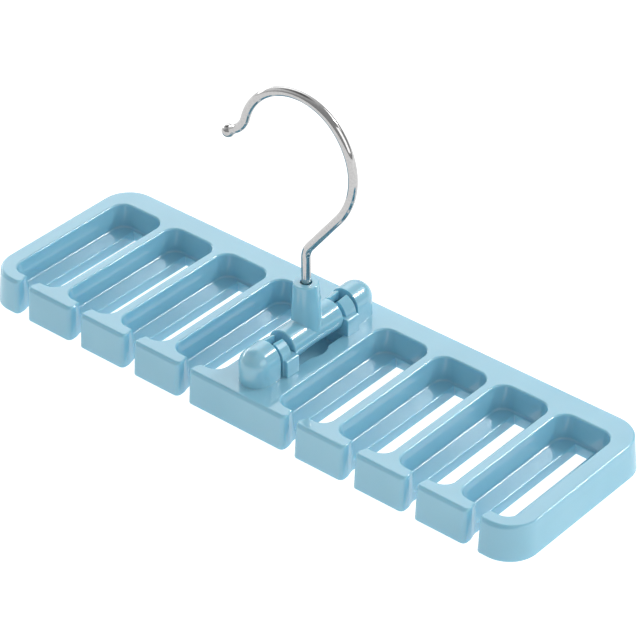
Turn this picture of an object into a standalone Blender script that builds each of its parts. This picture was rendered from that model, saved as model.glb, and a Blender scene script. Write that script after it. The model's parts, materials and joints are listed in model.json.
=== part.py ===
"""Belt hanger: a comb-shaped rack under a wire hook that turns and tilts.

The rack lies with its underside on z = 0 and its centre at x = y = 0. X runs along the
comb, belts slide in from the front (-Y), and the hook stands up along +Z. The hook's stem
turns in the sleeve of a tee, and the tee's barrel tilts in two snap-in clips on the rack.
Lengths are in metres.
"""
import math

import bmesh
import bpy
from mathutils import Vector

# Rack plate
RACK_LENGTH = 0.2308
RACK_DEPTH = 0.0720
RACK_HEIGHT = 0.0129
RACK_CORNER_RADIUS = 0.0110
OUTER_DRAFT = 0.0009            # lean of the outer faces over the full height
TOP_EDGE_RADIUS = 0.0008

# Belt slots: a wide trough above a ledge, a narrow slot through the floor, a throat in front.
# Each side of the rack holds as many slots as fit at this pitch beside a sound end bar.
SLOT_PITCH = 0.0249
CENTRE_BLOCK_PITCH = 0.0460     # between the two slots beside the centre block
LEAST_END_BAR = 0.0050          # the narrowest end bar, at its top
ARM_WIDTH_TOP = 0.0035          # between two troughs
ARM_WIDTH_LEDGE = 0.0048
TROUGH_CORNER_RADIUS = 0.0050
LEDGE_HEIGHT = 0.0038
FLOOR_SLOT_WIDTH_LEDGE = 0.0072
FLOOR_SLOT_WIDTH_BOTTOM = 0.0062
FLOOR_SLOT_BACK_MARGIN = 0.0005  # the ledge left between the floor slot and the trough's back
BACK_RAIL_TOP = 0.0100          # from the bottom back edge to the trough, at the top
BACK_RAIL_LEDGE = 0.0106        # the same, at the ledge

# T heads and the throats between them
HEAD_DEPTH_TOP = 0.0063         # from the bottom front edge to the arm's back face, at the top
HEAD_DEPTH_BOTTOM = 0.0077
HEAD_CORNER_RADIUS = 0.0018
NOSE_FLAT = 0.0008              # straight stretch of each nose behind its rounded corner
THROAT_GAP_BOTTOM = 0.0043      # between two noses
THROAT_GAP_TOP = 0.0046
THROAT_BACK_TOP = 0.0058        # behind the noses

# Barrel, journals and clips
AXLE_RISE = 0.0063              # the axle above the plate's top
AXLE_OFFSET_Y = 0.0007          # the axle's middle lies this far behind the rack's middle
BARREL_END_RADIUS = 0.0058
BARREL_WAIST_RADIUS = 0.00545   # under the sleeve
BARREL_LENGTH = 0.0244
BARREL_EDGE = 0.0004
JOURNAL_RADIUS = 0.0022
JOURNAL_CLEARANCE = 0.0003
CLIP_WIDTH = 0.0047             # of the jaws, along the axle
CLIP_GAP = 0.0032               # the snap-in mouth between the two jaws
CLIP_RADIUS_AT_BARREL = 0.0056  # of the jaws' outer curve
CLIP_RADIUS_AT_STOP = 0.0061
CLIP_DROP = 0.0007              # the outer curve's centre below the axle
BARREL_TO_CLIP = 0.0018
BARREL_TO_FOOT = 0.0003
FOOT_SET_IN = 0.0003            # the foot's far face short of the jaws' far face
CLIP_FOOT_HALF_WIDTH = 0.0076
CLIP_FOOT_RISE = 0.0002         # the foot's shoulder above the axle
CLIP_FOOT_CORNER = 0.0009
FOOT_NOTCH_CLEARANCE = 0.0004   # round the journal

# Domed end stops outside the clips
CLIP_TO_STOP = 0.0011
STOP_RADIUS = 0.0059
STOP_LENGTH = 0.0112
STOP_SPRING_RISE = 0.0063       # above the plate's top, where the dome starts to close
STOP_EMBED = 0.0010             # how deep stops and feet run into the plate
JOURNAL_END_CLEARANCE = 0.0004

# Recess in the plate under the barrel
RECESS_HALF_WIDTH = 0.0056
RECESS_END_CLEARANCE = 0.0002   # beyond each end of the barrel
RECESS_FLOOR = 0.0078           # left under the recess
RELIEF_RADIUS = 0.0072          # of the round bulges in its sides, under the stem

# Sleeve of the tee
SLEEVE_TOP_RISE = 0.0192        # above the axle
SLEEVE_TOP_RADIUS = 0.0044
SLEEVE_FOOT_RADIUS = 0.00535    # at the axle's height
SLEEVE_EDGE = 0.0005
STEM_CLEARANCE = 0.0004

# Hook: one bent wire in one plane
WIRE_RADIUS = 0.0016
HOOK_REST_TURN = math.radians(5)
HOOK_STEM_SHOWN = 0.0123        # from the sleeve's top to the first bend's corner
HOOK_BEND_RADIUS = 0.0077
HOOK_BEND_ANGLE = math.radians(37.9)
HOOK_SLOPE_LENGTH = 0.0183
HOOK_SIDE_RADIUS = 0.0265
HOOK_SIDE_ANGLE = math.radians(82.6)
HOOK_CROWN_RADIUS = 0.0205
HOOK_CROWN_ANGLE = math.radians(120.9)
HOOK_TIP_RADIUS = 0.0090
HOOK_TIP_ANGLE = math.radians(45.1)
HOOK_TIP_LENGTH = 0.0033
BALL_RADIUS = 0.0023

# Washer in a pocket in the barrel's underside, and the hook's peened end below it
FIT_GAP = 0.00025
WASHER_SEAT_DEPTH = 0.0042      # the pocket's flat floor, below the axle
WASHER_POCKET_CLEARANCE = 0.0003
WASHER_RADIUS = 0.0030
WASHER_THICKNESS = 0.0006
WASHER_HOLE_CLEARANCE = 0.00025
PEEN_RADIUS = 0.0022
PEEN_HEIGHT = 0.0008

# Fineness of the round shapes
CORNER_STEPS = 5
NOSE_STEPS = 4
EDGE_STEPS = 2
ROUND_STEPS = 32
DOME_STEPS = 6
WIRE_STEPS = 12
BEND_STEP = math.radians(9)

BLUE_PLASTIC = (0.36, 0.62, 0.72, 1.0)
CHROME = (0.78, 0.79, 0.80, 1.0)
STEEL = (0.56, 0.57, 0.58, 1.0)


def clear_scene():
    for old in list(bpy.data.objects):
        bpy.data.objects.remove(old, do_unlink=True)


def material(name, colour, roughness, metallic):
    made = bpy.data.materials.new(name)
    made.use_nodes = True
    shader = made.node_tree.nodes["Principled BSDF"]
    shader.inputs["Base Color"].default_value = colour
    shader.inputs["Roughness"].default_value = roughness
    shader.inputs["Metallic"].default_value = metallic
    return made


def finish_mesh(name, work, smooth_angle=math.radians(35)):
    """Turn a bmesh into an object with outward faces and smooth round parts."""
    bmesh.ops.recalc_face_normals(work, faces=work.faces)
    mesh = bpy.data.meshes.new(name)
    work.to_mesh(mesh)
    work.free()
    mesh.shade_smooth()
    mesh.set_sharp_from_angle(angle=smooth_angle)
    made = bpy.data.objects.new(name, mesh)
    bpy.context.scene.collection.objects.link(made)
    return made


def as_tool(tool):
    """A shape that only cuts or joins another one."""
    tool.hide_render = True
    tool.display_type = 'WIRE'
    return tool


def combine(target, tool, operation):
    modifier = target.modifiers.new(operation.lower() + " " + tool.name, 'BOOLEAN')
    modifier.operation = operation
    modifier.solver = 'EXACT'
    modifier.object = as_tool(tool)


def arc(centre_x, centre_y, radius, start_deg, end_deg, steps):
    """Points of an arc in plan, both ends included."""
    points = []
    for step in range(steps + 1):
        angle = math.radians(start_deg + (end_deg - start_deg) * step / steps)
        points.append((centre_x + radius * math.cos(angle), centre_y + radius * math.sin(angle)))
    return points


def between(low, high, share):
    return low + (high - low) * share


def trough_half_width(height):
    share = (height - LEDGE_HEIGHT) / (RACK_HEIGHT - LEDGE_HEIGHT)
    return (SLOT_PITCH - between(ARM_WIDTH_LEDGE, ARM_WIDTH_TOP, share)) / 2


def slot_centres():
    first = CENTRE_BLOCK_PITCH / 2
    last_place = RACK_LENGTH / 2 - LEAST_END_BAR - trough_half_width(RACK_HEIGHT)
    count = 1 + math.floor((last_place - first) / SLOT_PITCH)
    right = [first + SLOT_PITCH * index for index in range(count)]
    return [-x for x in reversed(right)] + right


def axle_height():
    return RACK_HEIGHT + AXLE_RISE


# Plan outlines of the rack. Each takes a height and how far an edge's rounding draws it in.

def head_back(height, inset):
    share = height / RACK_HEIGHT
    return -RACK_DEPTH / 2 + between(HEAD_DEPTH_BOTTOM, HEAD_DEPTH_TOP, share) - inset


def throat_half_width(height, inset):
    share = height / RACK_HEIGHT
    return between(FLOOR_SLOT_WIDTH_BOTTOM, THROAT_BACK_TOP, share) / 2 + inset


def mouth_side(height, inset):
    """Right side of a throat in slot coordinates, from the front face to the crease."""
    share = height / RACK_HEIGHT
    front = -RACK_DEPTH / 2 + OUTER_DRAFT * share + inset
    half_gap = between(THROAT_GAP_BOTTOM, THROAT_GAP_TOP, share) / 2 + inset
    corner = HEAD_CORNER_RADIUS - inset
    points = arc(half_gap + corner, front + corner, corner, 270, 180, CORNER_STEPS)
    nose_back = front + corner + NOSE_FLAT
    crease_y = head_back(height, inset)
    crease_x = throat_half_width(height, inset)
    for step in range(NOSE_STEPS + 1):
        ease = (1 - math.cos(math.pi * step / NOSE_STEPS)) / 2
        points.append((between(half_gap, crease_x, ease),
                       between(nose_back, crease_y, step / NOSE_STEPS)))
    return points


def trough_side(height, inset):
    """Right wall of a trough, from the arm's back face to the middle of the back wall."""
    share = (height - LEDGE_HEIGHT) / (RACK_HEIGHT - LEDGE_HEIGHT)
    wall = trough_half_width(height) + inset
    back = RACK_DEPTH / 2 - between(BACK_RAIL_LEDGE, BACK_RAIL_TOP, share) + inset
    radius = TROUGH_CORNER_RADIUS + inset
    front = head_back(height, inset)
    return (arc(wall - radius, front + radius, radius, -90, 0, CORNER_STEPS)
            + arc(wall - radius, back - radius, radius, 0, 90, CORNER_STEPS))


def floor_slot_side(height):
    """Right wall of a floor slot, from behind the crease to its back corner."""
    share = height / LEDGE_HEIGHT
    wall = between(FLOOR_SLOT_WIDTH_BOTTOM, FLOOR_SLOT_WIDTH_LEDGE, share) / 2
    back = RACK_DEPTH / 2 - BACK_RAIL_LEDGE - FLOOR_SLOT_BACK_MARGIN
    return [(wall, head_back(height, 0) + FLOOR_SLOT_WIDTH_LEDGE / 2), (wall, back)]


def both_sides(side, slot_x):
    """Left half of a path reversed from its right half, then the right half back again."""
    left = [(slot_x - x, y) for x, y in side]
    right = [(slot_x + x, y) for x, y in reversed(side)]
    return left, right


def outer_corners(height, inset):
    share = height / RACK_HEIGHT
    half_x = RACK_LENGTH / 2 - OUTER_DRAFT * share - inset
    half_y = RACK_DEPTH / 2 - OUTER_DRAFT * share - inset
    radius = RACK_CORNER_RADIUS - inset
    x, y = half_x - radius, half_y - radius
    front_left = arc(-x, -y, radius, 180, 270, CORNER_STEPS)
    front_right = arc(x, -y, radius, 270, 360, CORNER_STEPS)
    back = arc(x, y, radius, 0, 90, CORNER_STEPS) + arc(-x, y, radius, 90, 180, CORNER_STEPS)
    return front_left, front_right + back


def place(work, points, height):
    return [work.verts.new((x, y, height)) for x, y in points]


def rack_ring(work, height, inset, with_troughs, shared=None):
    """One closed ring of vertices: the outline with its troughs, or with its floor slots.

    shared is a ring at the same height whose outer stretches are used again.
    """
    first, last = outer_corners(height, inset)
    mouth = mouth_side(height, inset)
    inner = trough_side(height, inset) if with_troughs else floor_slot_side(height)
    ring = {"outer": [], "inner": []}
    ring["outer"].append(place(work, first, height) if not shared else shared["outer"][0])
    for index, slot_x in enumerate(slot_centres()):
        left_mouth, right_mouth = both_sides(mouth, slot_x)
        left_inner, right_inner = both_sides(inner, slot_x)
        ring["inner"].append(place(work, left_inner + right_inner, height))
        if shared:
            ring["outer"] += shared["outer"][1 + 2 * index:3 + 2 * index]
        else:
            ring["outer"].append(place(work, left_mouth, height))
            ring["outer"].append(place(work, right_mouth, height))
    ring["outer"].append(place(work, last, height) if not shared else shared["outer"][-1])
    return ring


def loop_of(ring):
    vertices = list(ring["outer"][0])
    for index, inner in enumerate(ring["inner"]):
        vertices += ring["outer"][1 + 2 * index] + inner + ring["outer"][2 + 2 * index]
    return vertices + ring["outer"][-1]


def bridge(work, low_loop, high_loop):
    count = len(low_loop)
    for index in range(count):
        after = (index + 1) % count
        work.faces.new((low_loop[index], low_loop[after], high_loop[after], high_loop[index]))


def build_rack_plate():
    """The comb: an outline lofted from the bottom to the ledges and on to the rounded top."""
    work = bmesh.new()
    bottom = rack_ring(work, 0.0, 0.0, with_troughs=False)
    ledge_low = rack_ring(work, LEDGE_HEIGHT, 0.0, with_troughs=False)
    ledge_high = rack_ring(work, LEDGE_HEIGHT, 0.0, with_troughs=True, shared=ledge_low)
    bridge(work, loop_of(bottom), loop_of(ledge_low))
    for index in range(len(ledge_low["inner"])):
        left_crease = ledge_low["outer"][1 + 2 * index][-1]
        right_crease = ledge_low["outer"][2 + 2 * index][0]
        outer_path = [left_crease] + ledge_high["inner"][index] + [right_crease]
        work.faces.new(outer_path + list(reversed(ledge_low["inner"][index])))
    below = loop_of(ledge_high)
    for step in range(EDGE_STEPS + 1):
        turn = math.pi / 2 * step / EDGE_STEPS
        height = RACK_HEIGHT - TOP_EDGE_RADIUS * (1 - math.sin(turn))
        inset = TOP_EDGE_RADIUS * (1 - math.cos(turn))
        above = loop_of(rack_ring(work, height, inset, with_troughs=True))
        bridge(work, below, above)
        below = above
    work.faces.new(below)
    work.faces.new(list(reversed(loop_of(bottom))))
    return finish_mesh("comb_rack", work)


def loft(name, first, last):
    """A closed solid between two outlines of as many points each."""
    work = bmesh.new()
    near = [work.verts.new(point) for point in first]
    far = [work.verts.new(point) for point in last]
    bridge(work, near, far)
    work.faces.new(near)
    work.faces.new(far)
    return finish_mesh(name, work)


def build_recess_tool():
    """The oblong recess under the barrel, with a round bulge beside the stem's end."""
    half_length = BARREL_LENGTH / 2 + RECESS_END_CLEARANCE
    meet = math.degrees(math.acos(RECESS_HALF_WIDTH / RELIEF_RADIUS))
    right = arc(0, AXLE_OFFSET_Y, RELIEF_RADIUS, -meet, meet, CORNER_STEPS)
    left = arc(0, AXLE_OFFSET_Y, RELIEF_RADIUS, 180 - meet, 180 + meet, CORNER_STEPS)
    front, back = AXLE_OFFSET_Y - half_length, AXLE_OFFSET_Y + half_length
    outline = [(RECESS_HALF_WIDTH, front)] + right + [(RECESS_HALF_WIDTH, back)]
    outline += [(-RECESS_HALF_WIDTH, back)] + left + [(-RECESS_HALF_WIDTH, front)]
    floor = [(x, y, RECESS_FLOOR) for x, y in outline]
    mouth = [(x, y, RACK_HEIGHT + STOP_EMBED) for x, y in outline]
    return loft("barrel_recess", floor, mouth)


def clip_inner_face():
    """How far the clips' inner faces lie from the axle's middle."""
    return BARREL_LENGTH / 2 + BARREL_TO_CLIP


def stop_flat_face():
    """How far the end stops' flat faces lie from the axle's middle."""
    return clip_inner_face() + CLIP_WIDTH + CLIP_TO_STOP


def clip_outline(radius):
    """(x, z) points of a C clip, open at the top, whose outer curve has this radius."""
    half_gap = CLIP_GAP / 2
    bore = JOURNAL_RADIUS + JOURNAL_CLEARANCE
    axle = axle_height()
    outer_end = math.degrees(math.acos(half_gap / radius))
    bore_end = math.degrees(math.acos(half_gap / bore))
    right = [(radius, RACK_HEIGHT - STOP_EMBED)]
    right += arc(0, axle - CLIP_DROP, radius, 0, outer_end, CORNER_STEPS)
    inside = arc(0, axle, bore, bore_end, -180 - bore_end, 3 * CORNER_STEPS)
    left = [(-x, z) for x, z in reversed(right)]
    return right + inside + left


def build_clip(name, side):
    """A clip whose jaws are drawn in a little towards the barrel, for the mould's draft."""
    near = AXLE_OFFSET_Y + side * clip_inner_face()
    far = near + side * CLIP_WIDTH
    barrel_face = [(x, near, z) for x, z in clip_outline(CLIP_RADIUS_AT_BARREL)]
    stop_face = [(x, far, z) for x, z in clip_outline(CLIP_RADIUS_AT_STOP)]
    return loft(name, barrel_face, stop_face)


def foot_outline():
    """(x, z) points of a clip's foot, with a round notch for the journal in its top."""
    axle = axle_height()
    shoulder = axle + CLIP_FOOT_RISE
    notch = JOURNAL_RADIUS + FOOT_NOTCH_CLEARANCE
    notch_start = math.degrees(math.asin(CLIP_FOOT_RISE / notch))
    corner_x = CLIP_FOOT_HALF_WIDTH - CLIP_FOOT_CORNER
    right = [(CLIP_FOOT_HALF_WIDTH, RACK_HEIGHT - STOP_EMBED)]
    right += arc(corner_x, shoulder - CLIP_FOOT_CORNER, CLIP_FOOT_CORNER, 0, 90, EDGE_STEPS)
    inside = arc(0, axle, notch, notch_start, -180 - notch_start, 2 * CORNER_STEPS)
    return right + inside + [(-x, z) for x, z in reversed(right)]


def build_clip_foot(name, side):
    """The block that a clip stands on, which reaches almost to the barrel's end."""
    near = AXLE_OFFSET_Y + side * (BARREL_LENGTH / 2 + BARREL_TO_FOOT)
    far = AXLE_OFFSET_Y + side * (clip_inner_face() + CLIP_WIDTH - FOOT_SET_IN)
    faces = [[(x, y, z) for x, z in foot_outline()] for y in (near, far)]
    return loft(name, *faces)


def build_end_stop(name, side):
    """A bullet-shaped stop: half a dome with upright sides and a flat face to the clip."""
    half_turn = 2 * DOME_STEPS
    flat_y = AXLE_OFFSET_Y + side * stop_flat_face()
    centre_y = flat_y + side * (STOP_LENGTH - STOP_RADIUS)
    base = RACK_HEIGHT - STOP_EMBED
    spring = RACK_HEIGHT + STOP_SPRING_RISE
    profile = [(STOP_RADIUS, base)]
    for step in range(DOME_STEPS):
        rise = math.pi / 2 * step / DOME_STEPS
        profile.append((STOP_RADIUS * math.cos(rise), spring + STOP_RADIUS * math.sin(rise)))
    top = spring + STOP_RADIUS
    work = bmesh.new()
    columns = []
    for step in range(half_turn + 1):
        turn = math.pi * step / half_turn
        columns.append([work.verts.new((radius * math.cos(turn), centre_y + side * radius * math.sin(turn), z))
                        for radius, z in profile])
    for sign in (-1, 1):
        columns.append([work.verts.new((sign * radius, flat_y, z)) for radius, z in profile])
    dome_top = work.verts.new((0, centre_y, top))
    flat_top = work.verts.new((0, flat_y, top))
    for index, column in enumerate(columns):
        after = columns[(index + 1) % len(columns)]
        if index == half_turn + 1:
            work.faces.new(column + [flat_top] + list(reversed(after)))
            continue
        for low in range(len(profile) - 1):
            work.faces.new((column[low], after[low], after[low + 1], column[low + 1]))
        crown = [column[-1], after[-1]]
        if index < half_turn:
            crown.append(dome_top)
        elif index == half_turn:
            crown += [flat_top, dome_top]
        else:
            crown += [dome_top, flat_top]
        work.faces.new(crown)
    work.faces.new([column[0] for column in columns])
    return finish_mesh(name, work)


def build_comb_rack(plastic):
    rack = build_rack_plate()
    rack.data.materials.append(plastic)
    combine(rack, build_recess_tool(), 'DIFFERENCE')
    for end, side in (("front", -1), ("rear", 1)):
        combine(rack, build_clip_foot(end + "_foot", side), 'UNION')
        combine(rack, build_clip(end + "_clip", side), 'UNION')
        combine(rack, build_end_stop(end + "_stop", side), 'UNION')
    return rack


def turned(name, profile, axis):
    """A closed solid turned from (radius, height) points that start and end on the axis."""
    work = bmesh.new()
    rings = []
    for radius, height in profile:
        if radius == 0:
            rings.append([work.verts.new(along(axis, 0, 0, height))])
            continue
        turns = [2 * math.pi * step / ROUND_STEPS for step in range(ROUND_STEPS)]
        rings.append([work.verts.new(along(axis, radius * math.cos(turn), radius * math.sin(turn), height))
                      for turn in turns])
    for low, high in zip(rings, rings[1:]):
        for step in range(ROUND_STEPS):
            after = (step + 1) % ROUND_STEPS
            if len(low) == 1:
                work.faces.new((low[0], high[after], high[step]))
            elif len(high) == 1:
                work.faces.new((low[step], low[after], high[0]))
            else:
                work.faces.new((low[step], low[after], high[after], high[step]))
    return finish_mesh(name, work)


def along(axis, across, side, height):
    return (across, side, height) if axis == 'Z' else (across, height, side)


def barrel_profile():
    """The barrel, a little slimmer in its middle, with a journal at each end."""
    half = BARREL_LENGTH / 2
    end = stop_flat_face() - JOURNAL_END_CLEARANCE
    half_profile = [(BARREL_END_RADIUS, half - BARREL_EDGE), (BARREL_END_RADIUS - BARREL_EDGE, half),
                    (JOURNAL_RADIUS, half), (JOURNAL_RADIUS, end - BARREL_EDGE),
                    (JOURNAL_RADIUS - BARREL_EDGE, end), (0, end)]
    other_half = [(radius, -height) for radius, height in reversed(half_profile)]
    return other_half + [(BARREL_WAIST_RADIUS, 0)] + half_profile


def sleeve_profile():
    """The tapered sleeve, from the axle up, in heights over the axle."""
    top = SLEEVE_TOP_RISE
    return [(0, 0), (SLEEVE_FOOT_RADIUS, 0), (SLEEVE_TOP_RADIUS, top - SLEEVE_EDGE),
            (SLEEVE_TOP_RADIUS - SLEEVE_EDGE, top), (0, top)]


def drill_profile():
    """The washer's pocket, open below, and the stem's bore from it right through the sleeve."""
    pocket = WASHER_RADIUS + WASHER_POCKET_CLEARANCE
    bore = WIRE_RADIUS + STEM_CLEARANCE
    low, seat, high = -2 * BARREL_END_RADIUS, -WASHER_SEAT_DEPTH, 2 * SLEEVE_TOP_RISE
    return [(0, low), (pocket, low), (pocket, seat), (bore, seat), (bore, high), (0, high)]


def build_swivel_tee(plastic):
    """Barrel, journals and sleeve, with the hook's bore right through. Its origin is the axle."""
    tee = turned("swivel_tee", barrel_profile(), 'Y')
    sleeve = turned("tee_sleeve", sleeve_profile(), 'Z')
    drill = turned("tee_bore", drill_profile(), 'Z')
    for piece in (tee, sleeve, drill):
        piece.location = Vector((0, AXLE_OFFSET_Y, axle_height()))
    tee.data.materials.append(plastic)
    combine(tee, sleeve, 'UNION')
    combine(tee, drill, 'DIFFERENCE')
    return tee


def washer_top():
    """The washer's upper face, over the axle."""
    return -WASHER_SEAT_DEPTH - FIT_GAP


def peen_top():
    """The peened end's upper face, over the axle."""
    return washer_top() - WASHER_THICKNESS - FIT_GAP


def build_stem_washer(steel, tee):
    outer, inner = WASHER_RADIUS, WIRE_RADIUS + WASHER_HOLE_CLEARANCE
    high, low = washer_top(), washer_top() - WASHER_THICKNESS
    work = bmesh.new()
    loops = []
    for radius, height in ((outer, low), (outer, high), (inner, high), (inner, low)):
        loops.append([work.verts.new((radius * math.cos(turn), radius * math.sin(turn), height))
                      for turn in (2 * math.pi * step / ROUND_STEPS for step in range(ROUND_STEPS))])
    for index, loop in enumerate(loops):
        bridge(work, loop, loops[(index + 1) % len(loops)])
    washer = finish_mesh("stem_washer", work)
    washer.data.materials.append(steel)
    washer.parent = tee
    return washer


class WirePath:
    """Walks a bent wire in its plane and keeps (position, heading) at each step."""

    def __init__(self, height):
        self.across, self.height, self.heading = 0.0, height, 0.0
        self.steps = [(self.across, self.height, self.heading)]

    def straight(self, length):
        self.across += length * math.sin(self.heading)
        self.height += length * math.cos(self.heading)
        self.steps.append((self.across, self.height, self.heading))

    def bend(self, radius, angle):
        """Turn by angle; a positive angle leans towards +X."""
        side = math.copysign(1, angle)
        centre_across = self.across + side * radius * math.cos(self.heading)
        centre_height = self.height - side * radius * math.sin(self.heading)
        start = self.heading
        count = math.ceil(abs(angle) / BEND_STEP)
        for step in range(1, count + 1):
            self.heading = start + angle * step / count
            self.across = centre_across - side * radius * math.cos(self.heading)
            self.height = centre_height + side * radius * math.sin(self.heading)
            self.steps.append((self.across, self.height, self.heading))


def hook_centreline():
    """Heights over the axle, from the peened end's upper face to the ball's centre."""
    bend_corner = SLEEVE_TOP_RISE + HOOK_STEM_SHOWN
    bend_start = bend_corner - HOOK_BEND_RADIUS * math.tan(HOOK_BEND_ANGLE / 2)
    path = WirePath(peen_top())
    path.straight(bend_start - peen_top())
    path.bend(HOOK_BEND_RADIUS, HOOK_BEND_ANGLE)
    path.straight(HOOK_SLOPE_LENGTH)
    path.bend(HOOK_SIDE_RADIUS, -HOOK_SIDE_ANGLE)
    path.bend(HOOK_CROWN_RADIUS, -HOOK_CROWN_ANGLE)
    path.bend(HOOK_TIP_RADIUS, HOOK_TIP_ANGLE)
    path.straight(HOOK_TIP_LENGTH)
    return path.steps


def wire_sections():
    """(across, height, heading, radius) for each ring of the wire, ends rounded off."""
    path = hook_centreline()
    sections = []
    dome = PEEN_HEIGHT / 2
    for step in range(1, EDGE_STEPS + 1):
        turn = math.pi / 2 * step / EDGE_STEPS
        low = path[0][1] - PEEN_HEIGHT + dome * (1 - math.cos(turn))
        sections.append((0.0, low, 0.0, PEEN_RADIUS * math.sin(turn)))
    sections.append((0.0, path[0][1], 0.0, PEEN_RADIUS))
    sections.append((0.0, path[0][1], 0.0, WIRE_RADIUS))
    sections += [(across, height, heading, WIRE_RADIUS) for across, height, heading in path[1:-1]]
    across, height, heading = path[-1]
    neck = math.asin(WIRE_RADIUS / BALL_RADIUS)
    for step in range(2 * DOME_STEPS):
        turn = neck + (math.pi - neck) * step / (2 * DOME_STEPS)
        reach = -BALL_RADIUS * math.cos(turn)
        sections.append((across + reach * math.sin(heading), height + reach * math.cos(heading),
                         heading, BALL_RADIUS * math.sin(turn)))
    return sections


def build_wire_hook(chrome, tee):
    """The bent wire with its ball tip and its peened lower end, as one body."""
    work = bmesh.new()
    sections = wire_sections()
    rings = []
    for across, height, heading, radius in sections:
        ring = []
        for step in range(WIRE_STEPS):
            turn = 2 * math.pi * step / WIRE_STEPS
            out = radius * math.cos(turn)
            ring.append(work.verts.new((across + out * math.cos(heading), radius * math.sin(turn),
                                        height - out * math.sin(heading))))
        rings.append(ring)
    for low, high in zip(rings, rings[1:]):
        bridge(work, low, high)
    path_end = hook_centreline()[-1]
    tip = work.verts.new((path_end[0] + BALL_RADIUS * math.sin(path_end[2]), 0,
                          path_end[1] + BALL_RADIUS * math.cos(path_end[2])))
    for step in range(WIRE_STEPS):
        work.faces.new((rings[-1][step], rings[-1][(step + 1) % WIRE_STEPS], tip))
    work.faces.new(rings[0])
    hook = finish_mesh("wire_hook", work)
    hook.data.materials.append(chrome)
    hook.parent = tee
    hook.rotation_euler.z = HOOK_REST_TURN
    return hook


def build_belt_hanger():
    clear_scene()
    plastic = material("blue gloss plastic", BLUE_PLASTIC, 0.25, 0.0)
    build_comb_rack(plastic)
    tee = build_swivel_tee(plastic)
    build_wire_hook(material("chromed wire", CHROME, 0.08, 1.0), tee)
    build_stem_washer(material("plain steel", STEEL, 0.35, 1.0), tee)


build_belt_hanger()
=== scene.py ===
"""Belt hanger: a comb-shaped rack of glossy blue plastic that hangs from a chromed wire hook.

Metres, +Z up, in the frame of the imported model. The sections follow the hanger as it is put
together: the moulded rack, the tee that tilts in it, the wire hook, and the washer that keeps
the hook in. The studio and the camera come last.
"""
import json
import math

import bmesh
import bpy
from mathutils import Matrix, Vector


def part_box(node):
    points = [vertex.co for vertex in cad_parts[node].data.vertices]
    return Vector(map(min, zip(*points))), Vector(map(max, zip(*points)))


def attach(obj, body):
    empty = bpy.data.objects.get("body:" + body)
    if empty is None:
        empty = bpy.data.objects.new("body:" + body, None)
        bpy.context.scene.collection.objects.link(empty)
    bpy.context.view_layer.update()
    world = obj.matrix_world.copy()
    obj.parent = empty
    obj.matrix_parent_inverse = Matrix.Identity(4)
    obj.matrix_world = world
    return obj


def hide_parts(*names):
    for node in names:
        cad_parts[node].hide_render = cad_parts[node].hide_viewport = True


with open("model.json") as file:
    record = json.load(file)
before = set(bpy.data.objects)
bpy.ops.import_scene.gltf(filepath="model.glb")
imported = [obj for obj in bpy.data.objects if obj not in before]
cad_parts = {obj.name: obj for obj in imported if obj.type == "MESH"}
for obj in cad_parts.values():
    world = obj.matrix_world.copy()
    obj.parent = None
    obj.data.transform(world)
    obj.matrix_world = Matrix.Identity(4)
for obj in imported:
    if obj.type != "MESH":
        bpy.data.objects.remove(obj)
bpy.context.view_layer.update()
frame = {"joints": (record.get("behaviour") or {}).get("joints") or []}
pivots = {joint["name"]: Vector(joint["pos_m"]) for joint in frame["joints"]}


# The plastic
# Both mouldings are ABS in one light blue, from a polished mould. To the eye that is a clear
# gloss with a shallow orange peel, and slow waves of a deeper blue where the melt flowed. The
# pocket under the barrel is duller, as where a mould isn't polished.

def linear(hex_colour):
    """An sRGB hex colour as the linear RGBA that shaders take."""
    values = [int(hex_colour[i:i + 2], 16) / 255 for i in (1, 3, 5)]
    return [v / 12.92 if v <= 0.04045 else ((v + 0.055) / 1.055) ** 2.4 for v in values] + [1.0]


def add_node(tree, kind, settings=None, values=None, links=None):
    """A node with its settings, its socket values, and what feeds its sockets."""
    node = tree.nodes.new(kind)
    for name, value in (settings or {}).items():
        setattr(node, name, value)
    for name, value in (values or {}).items():
        node.inputs[name].default_value = value
    for name, source in (links or {}).items():
        tree.links.new(source, node.inputs[name])
    return node


def new_material(name):
    made = bpy.data.materials.new(name)
    made.use_nodes = True
    return made, made.node_tree, made.node_tree.nodes["Principled BSDF"]


PLASTIC_BLUE = "#94cce0"
PLASTIC_BLUE_DEEP = "#8cc6db"
ABS_IOR = 1.54
FLOW_WIDTH = 0.030              # how far apart the pale and deep areas of the melt lie
FLOW_EDGES = (0.35, 0.65)       # the noise values at which the blue is all deep and all pale
PEEL_WIDTH = 0.0035             # orange peel on the moulded skin
PEEL_DEPTH = 0.0000025
POLISHED_ROUGHNESS = (0.06, 0.10)
POLISHED_SHINE = 0.9
POCKET_ADDED_ROUGHNESS = 0.45
POCKET_SHINE = 0.15
POCKET_TOP = 0.0092             # below this height the pocket under the barrel is unpolished
POCKET_FADE = 0.001
POCKET_HALF = (0.0072, 0.0126)  # half its width and half its length
GLOW_SHARE = 0.4                # how much of the light passes under the plastic's skin
GLOW_REACH = 0.003
GLOW_BY_COLOUR = (0.3, 0.8, 1.0)


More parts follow.
